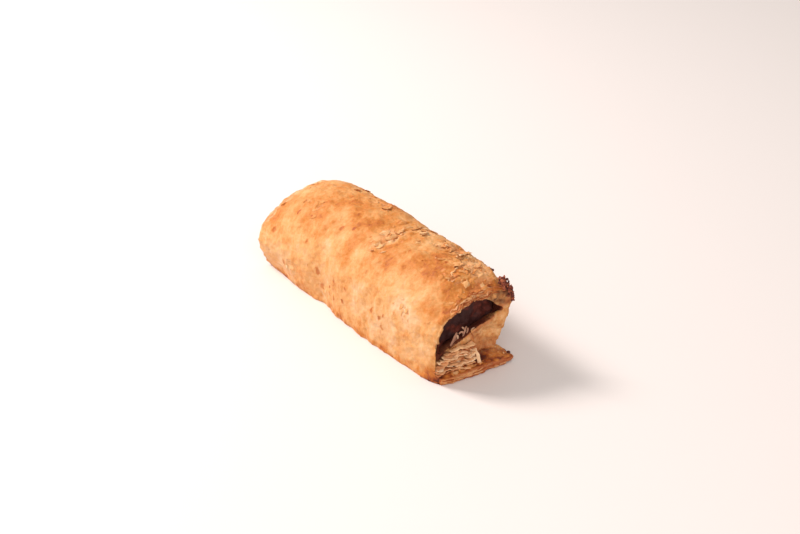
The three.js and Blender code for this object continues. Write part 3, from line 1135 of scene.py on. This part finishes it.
def torn_layer(height, y_from, y_to, seed):
    """One wavy leaf, edge on, from the carved face out to about the old face."""
    along = np.linspace(y_from, y_to, ALONG_POINTS)
    still = np.zeros(ALONG_POINTS)
    ragged = fractal(np.stack([along, still, still + seed], 1), 2.6, seed, 3)
    grid = np.zeros((DEPTH_POINTS, ALONG_POINTS, 3))
    for i, share in enumerate(np.linspace(0, 1, DEPTH_POINTS)):
        place = np.stack([along, still + share * 2.0, still], 1)
        wave = 0.8 * noise(place, 4.2, 303 + seed // 30) + 0.65 * noise(place, 1.7, seed + 5)
        grid[i, :, 0] = FACE_X / MM - REACH + share * (REACH + 1.2 * ragged)
        grid[i, :, 1] = along
        grid[i, :, 2] = height + wave
    return grid * MM


for layer in range(LAYERS):
    height = LOWEST_LAYER + layer * LAYER_PITCH + tear_chance.uniform(-0.2, 0.2)
    y_from = -21 + 9 * (layer / LAYERS) ** 3 + tear_chance.uniform(0, 1.5)
    while y_from < 0:
        y_to = min(y_from + tear_chance.uniform(5, 16), 1.6 + tear_chance.uniform(-1.2, 0.6))
        if y_to - y_from > 2:
            grid = torn_layer(height, y_from, y_to, 300 + 10 * layer)
            torn.lay(*sheet(grid, tear_chance.uniform(0.2, 0.75) * MM), tear_chance.uniform(0.0, 0.7))
        y_from = y_to + tear_chance.uniform(0.3, 1.8)
        height += tear_chance.uniform(-0.3, 0.3)
print("leaves in the slab:", len(torn.points))

# %% [markdown]
# One pale leaf stands upright at the slab's seam side, leaning on it. It is one more grid, whose rows run
# across the leaf and whose columns climb up it.

# %% Stand up the last leaf
ACROSS_POINTS = 6
CLIMB_POINTS = 20
LEAF_FOOT = 3.3
LEAF_HEIGHT = 7.6
climb = np.linspace(0, 1, CLIMB_POINTS)
upright = np.zeros((ACROSS_POINTS, CLIMB_POINTS, 3))
for i, share in enumerate(np.linspace(0, 1, ACROSS_POINTS)):
    wave = noise(np.stack([climb * 10, climb * 0, climb * 0 + share], 1), 2.4, 391)
    upright[i, :, 0] = FACE_X / MM - 0.7 + 0.8 * share + 0.3 * wave - 1.6 * climb**3
    upright[i, :, 1] = 2.8 - 1.6 * climb + 1.8 * share * (1 - 0.4 * climb) + 0.3 * wave
    upright[i, :, 2] = LEAF_FOOT + LEAF_HEIGHT * climb + 0.4 * wave
torn.lay(*sheet(upright * MM, 0.35 * MM), 0.05)
print("leaves with the upright one:", len(torn.points))

# %% [markdown]
# ## Leaves round the rims
# The crust is made of the same leaves, so its rims at both ends show them edge on, as thin arcs one inside
# another. Each arc follows the crust at its own depth and stands a little proud of the end's face. The
# arcs are darker at the opened end, which browned more.

# %% Lay the rim leaves
pastry_surface = surface_of(pastry)
Rim = namedtuple("Rim", "end first last count tone")
RIMS = [Rim(1, 20, 140, 22, 0.4), Rim(-1, -5, 205, 46, 0.15)]
RIM_X = 64
DEEP_RIM = 2.8
THIN_RIM = 1.5


def face_at(end, y, z, fallback):
    """The x of the end's face straight in from outside at that place, all in metres."""
    hit = pastry_surface.ray_cast(Vector((90 * MM * end, y, z)), Vector((-end, 0, 0)))[0]
    return hit.x if hit else fallback


def rim_leaf(end, first_angle, last_angle, depth, seed):
    """A grid for one arc of leaf at that depth in mm below the crust; end is 1 near, -1 far."""
    columns = max(6, int(abs(last_angle - first_angle) / 4))
    grid = np.zeros((3, columns, 3))
    for j, angle in enumerate(np.linspace(first_angle, last_angle, columns)):
        wave = noise(np.array([(angle * 0.3, depth * 3, seed)]), 2, seed)[0]
        place, normal = place_on(pastry_surface, RIM_X * end, angle)
        normal = Vector((0, normal.y, normal.z)).normalized()
        place = place - normal * (depth + 0.35 * wave) * MM
        face_x = face_at(end, place.y, place.z, 0)
        if abs(face_x) <= 60 * MM:
            face_x = 66 * MM * end
        for i, reach in enumerate((-0.8, 0.1, 0.55 + 0.5 * wave)):
            grid[i, j] = (face_x + end * reach * MM, place.y, place.z)
    return grid


for rim in RIMS:
    for number in range(rim.count):
        start = tear_chance.uniform(rim.first, rim.last - 15)
        stop = min(rim.last, start + tear_chance.uniform(12, 50))
        thickest = DEEP_RIM if 10 < start < 110 else THIN_RIM
        depth = tear_chance.uniform(0.1, 1) ** 0.8 * thickest
        grid = rim_leaf(rim.end, start, stop, depth, 700 + number)
        tone = rim.tone + 0.06 * depth + tear_chance.uniform(0, 0.4)
        torn.lay(*sheet(grid, tear_chance.uniform(0.15, 0.4) * MM), tone)
print("leaves with the rims:", len(torn.points))

# %% [markdown]
# ## Level leaves at the ends
# Level leaves show on the lap's front edge and on the thick lower part of the far end, where the sheet is
# folded under the roll. A leaf that would jump from one face to another further in is left out.

# %% Lay the level leaves
Edge = namedtuple("Edge", "end count y_low y_high z_low z_high tone")
EDGES = {
    "lap edge": Edge(1, 26, -20, 21, 0.5, 3, 0.42),
    "far face": Edge(-1, 84, -22, 21, 0.6, 15, 0.1),
}
LARGEST_JUMP = 3 * MM


def edge_leaf(end, y_from, y_to, height, seed):
    """A grid for one level leaf that shows its edge on the end's face at that height, all in mm."""
    columns = max(6, int((y_to - y_from) / 0.6))
    grid = np.zeros((3, columns, 3))
    sides = (hashed(np.array([(j // 2, seed, 0) for j in range(columns)]), seed) - 0.5) * 0.6
    for j, y in enumerate(np.linspace(y_from, y_to, columns)):
        z = height + 0.5 * noise(np.array([(y, height * 0.6, 0.0)]), 3.5, 801)[0]
        face_x = face_at(end, y * MM, z * MM, 60 * MM * end) / MM
        for i, reach in enumerate((-0.9, 0, 0.35 + sides[j])):
            grid[i, j] = (face_x + end * reach, y, z)
    return grid * MM


for edge in EDGES.values():
    for number in range(edge.count):
        y_from = tear_chance.uniform(edge.y_low, edge.y_high - 6)
        y_to = min(y_from + tear_chance.uniform(3, 14), edge.y_high)
        height = tear_chance.uniform(edge.z_low, edge.z_high)
        grid = edge_leaf(edge.end, y_from, y_to, height, 830 + number)
        if np.ptp(grid[1, :, 0]) < LARGEST_JUMP:
            leaf = sheet(grid, tear_chance.uniform(0.15, 0.4) * MM)
            torn.lay(*leaf, tear_chance.uniform(edge.tone, edge.tone + 0.6))
TORN_STOPS = [
    (0.1, colour(240, 204, 164)),
    (0.5, colour(226, 172, 122)),
    (0.85, colour(184, 110, 64)),
    (1.05, BROWN),
]
torn_layers = torn.piece("torn_layers", leaf_material("torn_leaf", TORN_STOPS, 1.5))

# %% [markdown]
# ## Flakes on the crust
# Where the leaves have lifted, loose flakes lie on the crust. A flake dropped by a physics simulation
# would lie well, but hundreds of them would take minutes. Instead, each point of a flake's grid is put
# on the nearest place of the crust and raised a little, more along one side, so it hugs the crust as a
# torn leaf does. Flakes lie mostly across the roll, as the leaves tear that way.

# %% Shape a flake
FLAKE_ROWS = 4
FLAKE_COLUMNS = 9
FLAKE_GAP = 0.06 * MM


def flake(place, normal, heading, length, width, lift, seed):
    """A grid for a flake that hugs the crust, lifted along one side, with a torn outline."""
    across = normal.cross(heading).normalized()
    grid = np.zeros((FLAKE_ROWS, FLAKE_COLUMNS, 3))
    numbers = range(FLAKE_COLUMNS)
    upper, lower = (hashed(np.array([(j, seed, k) for j in numbers]), seed) for k in (1, 2))
    for j, end in enumerate(np.linspace(-1, 1, FLAKE_COLUMNS)):
        taper = (1 - abs(end) ** 2.5) + 0.04
        for i, side in enumerate(np.linspace(-1, 1, FLAKE_ROWS)):
            ragged = (upper if side > 0 else lower)[j]
            half = width / 2 * taper * (0.45 + 0.75 * ragged)
            spot = place + heading * (end * length / 2) + across * (side * half)
            below, up, _, _ = pastry_surface.find_nearest(spot)
            rise = FLAKE_GAP + lift * ((side + 1) / 2) ** 1.5 * (0.4 + upper[j])
            grid[i, j] = below + up * rise
    return grid


print("points in the grid of a flake:", FLAKE_ROWS * FLAKE_COLUMNS)

# %% [markdown]
# Flakes come in clusters. Each row below gives a cluster's middle, as x and angle, its spread along the
# roll and round it, the number of flakes, their shortest and longest length in mm, the palest tone and
# how high their free sides may stand, in mm.

# %% Scatter the flakes
FIELDS = "x angle along around count shortest longest tone lift"
Cluster = namedtuple("Cluster", FIELDS, defaults=(1,))
CLUSTERS = [
    Cluster(8, 98, 3.2, 20, 25, 2, 7, 0.1),
    Cluster(15, 66, 5, 10, 9, 2, 6, 0.2),
    Cluster(44, 63, 12, 4, 14, 2.5, 6, 0.1, 2.4),
    Cluster(15, 66, 1.5, 3, 3, 4, 7, 0.1, 3),
    Cluster(38, 62, 9, 9, 18, 2, 6, 0.25),
    Cluster(55, 66, 7, 12, 20, 1.5, 6, 0.25),
    Cluster(54, 96, 4, 9, 11, 1.5, 5, 0.15),
    Cluster(66, 84, 2.5, 18, 19, 1, 4, 0.3),
    Cluster(-20, 62, 10, 8, 9, 1.5, 5, 0.25),
    Cluster(-42, 120, 8, 10, 8, 1.5, 4, 0.2, 0.3),
    Cluster(-43, 203, 3, 5, 5, 1.5, 4, 0.0, 0.3),
    Cluster(-66, 90, 3, 45, 19, 1, 4, 0.3, 0.4),
    Cluster(43, 163, 3, 7, 9, 1.5, 4, 0.0, 0.4),
    Cluster(67, 130, 2, 22, 9, 1, 3.5, 0.3),
    Cluster(20, 14, 34, 16, 34, 1, 5, 0.3, 0.6),
]
TURN_SPREAD = 38
MOST_X = 69
flakes = Pile()
chance = np.random.default_rng(21)
for cluster in CLUSTERS:
    for number in range(cluster.count):
        x = chance.normal(cluster.x, cluster.along)
        angle = chance.normal(cluster.angle, cluster.around)
        place, normal = place_on(pastry_surface, min(max(x, -MOST_X), MOST_X), angle)
        across_roll = Vector((1, 0, 0)).cross(normal).normalized()
        turn = math.radians(chance.normal(0, TURN_SPREAD))
        heading = Matrix.Rotation(turn, 3, normal) @ across_roll
        length = chance.uniform(cluster.shortest, cluster.longest) * MM
        width = length * chance.uniform(0.3, 0.75)
        lift = chance.uniform(0, 1) ** 3 * cluster.lift * MM
        grid = flake(place, normal, heading, length, width, lift, 400 + number)
        flakes.lay(*sheet(grid, chance.uniform(0.08, 0.16) * MM), cluster.tone + chance.uniform(0, 0.45))
FLAKE_STOPS = [
    (0.15, colour(226, 188, 146)),
    (0.4, colour(214, 156, 100)),
    (0.7, colour(202, 128, 66)),
    (1, AMBER),
]
pastry_flakes = flakes.piece("pastry_flakes", leaf_material("flake", FLAKE_STOPS, 1.2))

# %% [markdown]
# ## Shreds in the mouth
# Pale shreds of onion lie on the sill of the mouth in front of the dark meat. Each is a narrow strip that
# starts on the sill and bends as it goes, because its direction turns by the same amount at each step.

# %% Lay the shreds
def drop_on(tree, x, y, from_z):
    """The first surface point straight below, all in mm but the result in metres."""
    return tree.ray_cast(Vector((x, y, from_z)) * MM, Vector((0, 0, -1)))[0]


Shred = namedtuple("Shred", "y length slope girth curl")
SHREDS = [
    Shred(-12.5, 7.4, 38, 0.85, 0.25),
    Shred(-10.5, 4.2, 18, 0.45, 0.3),
    Shred(-5.4, 5.2, 5, 0.5, 4.4),
    Shred(-4.2, 4.2, 82, 0.5, -0.6),
    Shred(-2.2, 4, 118, 0.4, 0.4),
    Shred(-3.2, 3.2, 50, 0.35, 0.9),
    Shred(-0.6, 2.6, 26, 0.45, -0.7),
    Shred(-7.6, 2.2, 60, 0.5, 1.2),
]
BITS = 10
SILL_X = 66
ABOVE_SILL = 24
SHRED_THICKNESS = 0.4 * MM


def shred_grid(shred, chance):
    """A bent narrow strip that starts on the sill."""
    middle = drop_on(pastry_surface, SILL_X + chance.uniform(-0.8, 0.6), shred.y, ABOVE_SILL)
    middle = middle + Vector((0, 0, 0.3 * MM))
    lean = chance.uniform(-0.25, 0.15)
    grid = np.zeros((4, BITS, 3))
    for j, share in enumerate(np.linspace(0, 1, BITS)):
        rise = math.radians(shred.slope) + shred.curl * share
        heading = Vector((lean, math.cos(rise), math.sin(rise))).normalized()
        side = Vector((1, 0, 0)).cross(heading).normalized()
        middle = middle + heading * (shred.length / BITS * MM)
        fullness = 0.55 + 0.5 * math.sin(math.pi * share)
        half = shred.girth * fullness * chance.uniform(0.8, 1.15) * MM
        for i, part in enumerate(np.linspace(-1, 1, 4)):
            grid[i, j] = middle + side * (part * half) + Vector((0.3 * MM * part * part, 0, 0))
    return grid


shreds = Pile()
chance = np.random.default_rng(31)
for shred in SHREDS:
    grid = shred_grid(shred, chance)
    shreds.lay(*sheet(grid, SHRED_THICKNESS), chance.uniform(0, 0.7))
SHRED_STOPS = [(0.1, colour(204, 166, 136)), (0.6, colour(168, 120, 96)), (1, colour(112, 62, 48))]
meat_shreds = shreds.piece("meat_shreds", leaf_material("onion_shred", SHRED_STOPS, 1.5))

# %% [markdown]
# ## Burnt crumbs
# A clump of burnt crumbs stands on the seam-side corner above the mouth. A crumb is a small ball of
# triangles pushed in and out by noise, so no two are the same. The clump follows a short curved spine,
# and its crumbs scatter round that spine, wider in the middle. A few more lie on the ridge and the lap.

# %% Shape a crumb
def crumb_lump(centre, radius, seed, detail):
    """Points and faces of an uneven small ball round centre."""
    ball = bmesh.new()
    bmesh.ops.create_icosphere(ball, subdivisions=detail, radius=1)
    around = np.array([vertex.co[:] for vertex in ball.verts])
    faces = [[vertex.index for vertex in face.verts] for face in ball.faces]
    ball.free()
    stretch = 1 + 0.35 * (hashed(np.array([(seed, k, 0) for k in (1, 2, 3)]), seed) * 2 - 1)
    size = 1 + 0.35 * noise(around + seed, 0.9, seed) + 0.2 * noise(around + seed, 0.4, seed + 1)
    return np.array(centre) + around * size[:, None] * stretch * radius, faces


print("triangles in a crumb:", len(crumb_lump((0, 0, 0), 1, 1, 2)[1]))

# %% Pile up the burnt crumbs
SPINE = np.array([(68.6, 20.6, 30.5), (68.4, 19.4, 34), (68, 17.8, 37.2), (67.4, 16.2, 40), (67, 15.4, 42)])
SPREAD = np.array([(0.5, 0.7, 0.8), (0.9, 1.2, 1), (1.2, 1.8, 1), (1.2, 1.9, 1), (0.9, 1.4, 0.8)])
BURNT_COUNT = 120
STRAYS = [(56.4, 18.6, 40.4, 0.8), (55.7, 18.2, 41, 0.4), (68.6, 20.6, 4.6, 0.9), (67.8, 21.2, 4.4, 0.5)]
burnt = Pile()
chance = np.random.default_rng(41)
for number in range(BURNT_COUNT):
    share = chance.uniform(0, 1) * (len(SPINE) - 1)
    first = min(int(share), len(SPINE) - 2)
    rest = share - first
    centre = SPINE[first] * (1 - rest) + SPINE[first + 1] * rest
    spread = SPREAD[first] * (1 - rest) + SPREAD[first + 1] * rest
    centre = (centre + spread * chance.normal(0, 0.62, 3)) * MM
    radius = chance.uniform(0.35, 0.8) * MM
    burnt.lay(*crumb_lump(centre, radius, 500 + number, 2), chance.uniform(0, 1))
for x, y, z, radius in STRAYS:
    spot, up, _, _ = pastry_surface.find_nearest(Vector((x, y, z)) * MM)
    burnt.lay(*crumb_lump(spot + up * radius * 0.4 * MM, radius * MM, 590, 2), 0.1)
BURNT_STOPS = [(0.1, colour(60, 25, 20)), (0.6, colour(116, 52, 38)), (1.1, colour(166, 92, 62))]
burnt_crumbs = burnt.piece("burnt_crumbs", leaf_material("burnt_crumb", BURNT_STOPS, 0.8))

# %% [markdown]
# ## Golden crumbs
# Small crumbs of the crust lie where they fell: about half along the lap, and the rest along the ridge
# near the opened end. They are the same uneven balls, smaller and with fewer triangles.

# %% Scatter the golden crumbs
GOLDEN_COUNT = 70
LAP_COUNT = 34
golden = Pile()
chance = np.random.default_rng(51)
for number in range(GOLDEN_COUNT):
    if number < LAP_COUNT:
        x = chance.uniform(20, MOST_X)
        place = drop_on(pastry_surface, x, chance.uniform(14, 21), 12)
        normal = Vector((0, 0, 1))
    else:
        x = chance.normal(55, 9)
        place, normal = place_on(pastry_surface, min(x, MOST_X), chance.normal(72, 20))
    if place is None:
        continue
    radius = chance.uniform(0.2, 0.55) * MM
    golden.lay(*crumb_lump(place + normal * radius * 0.3, radius, 600 + number, 1), chance.uniform(0, 0.9))
GOLDEN_STOPS = [(0.1, CREAM), (0.5, GOLD), (0.9, AMBER), (1.1, BROWN)]
golden_crumbs = golden.piece("golden_crumbs", leaf_material("golden_crumb", GOLDEN_STOPS, 0.8))

# %% [markdown]
# ## The floor
# The roll stands on a pale floor, large enough that its edge stays out of sight from low angles.

# %% Lay the floor
FLOOR_HALF = 8


def floor_object():
    """A large pale square at height 0."""
    mesh = bpy.data.meshes.new("floor")
    corners = [(-1, -1), (1, -1), (1, 1), (-1, 1)]
    mesh.from_pydata([(FLOOR_HALF * x, FLOOR_HALF * y, 0) for x, y in corners], [], [(0, 1, 2, 3)])
    material, _, shader = new_material("floor_paint")
    shader.inputs["Base Color"].default_value = colour(232, 222, 218)
    shader.inputs["Roughness"].default_value = 0.6
    mesh.materials.append(material)
    floor = bpy.data.objects.new("floor", mesh)
    bpy.context.scene.collection.objects.link(floor)
    return floor


floor_object()
print("floor side in m:", 2 * FLOOR_HALF)

# %% [markdown]
# ## Light
# One broad key lamp from the left and slightly in front draws a soft shadow to the right. A weaker and
# larger fill from the right opens the shadows in the mouth, and a bright even sky lifts everything. The
# lamps are a little warm. A lamp is placed by its direction from the roll, and turned to face it.

# %% Hang the lamps
def lamp(name, towards, distance, size, power, tint):
    """A square lamp in the given direction from the roll, facing it."""
    light = bpy.data.lights.new(name, "AREA")
    light.shape = "SQUARE"
    light.size = size
    light.energy = power
    light.color = tint
    obj = bpy.data.objects.new(name, light)
    away = Vector(towards).normalized()
    obj.location = AIM + away * distance
    obj.rotation_mode = "QUATERNION"
    obj.rotation_quaternion = away.to_track_quat("Z", "Y")
    bpy.context.scene.collection.objects.link(obj)
    return obj


KEY_DIRECTION = (-0.66, -0.38, 0.65)
FILL_DIRECTION = (0.8, -0.5, 0.5)
key = lamp("key", KEY_DIRECTION, distance=1.0, size=0.3, power=11.2, tint=(1, 0.96, 0.935))
fill = lamp("fill", FILL_DIRECTION, distance=1.2, size=1.0, power=7.5, tint=(1, 0.97, 0.95))
print("lamps:", key.name, "and", fill.name)

# %% Light the sky
SKY_TINT = (1, 0.98, 0.95, 1)
SKY_STRENGTH = 0.55
world = bpy.data.worlds.new("sky")
world.use_nodes = True
background = world.node_tree.nodes["Background"]
background.inputs["Color"].default_value = SKY_TINT
background.inputs["Strength"].default_value = SKY_STRENGTH
bpy.context.scene.world = world
bpy.context.scene.view_settings.view_transform = "Standard"
print("sky strength:", SKY_STRENGTH)

# %% [markdown]
# ## Finish
# Each piece rides on the one body of the roll, and the frame's own solids are hidden. A slot is listed
# for each piece, but it is not given to the piece here.

# %% Finish
SLOTS = {
    pastry: "baked_pastry",
    torn_layers: "baked_pastry",
    pastry_flakes: "baked_pastry",
    golden_crumbs: "baked_pastry",
    burnt_crumbs: "baked_pastry",
    meat: "cooked_meat",
    meat_shreds: "cooked_meat",
}
for piece, slot in SLOTS.items():
    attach(piece, "root")
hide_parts("pastry")
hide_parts("sausage_meat")
print("pieces:", sorted(piece.name for piece in SLOTS))
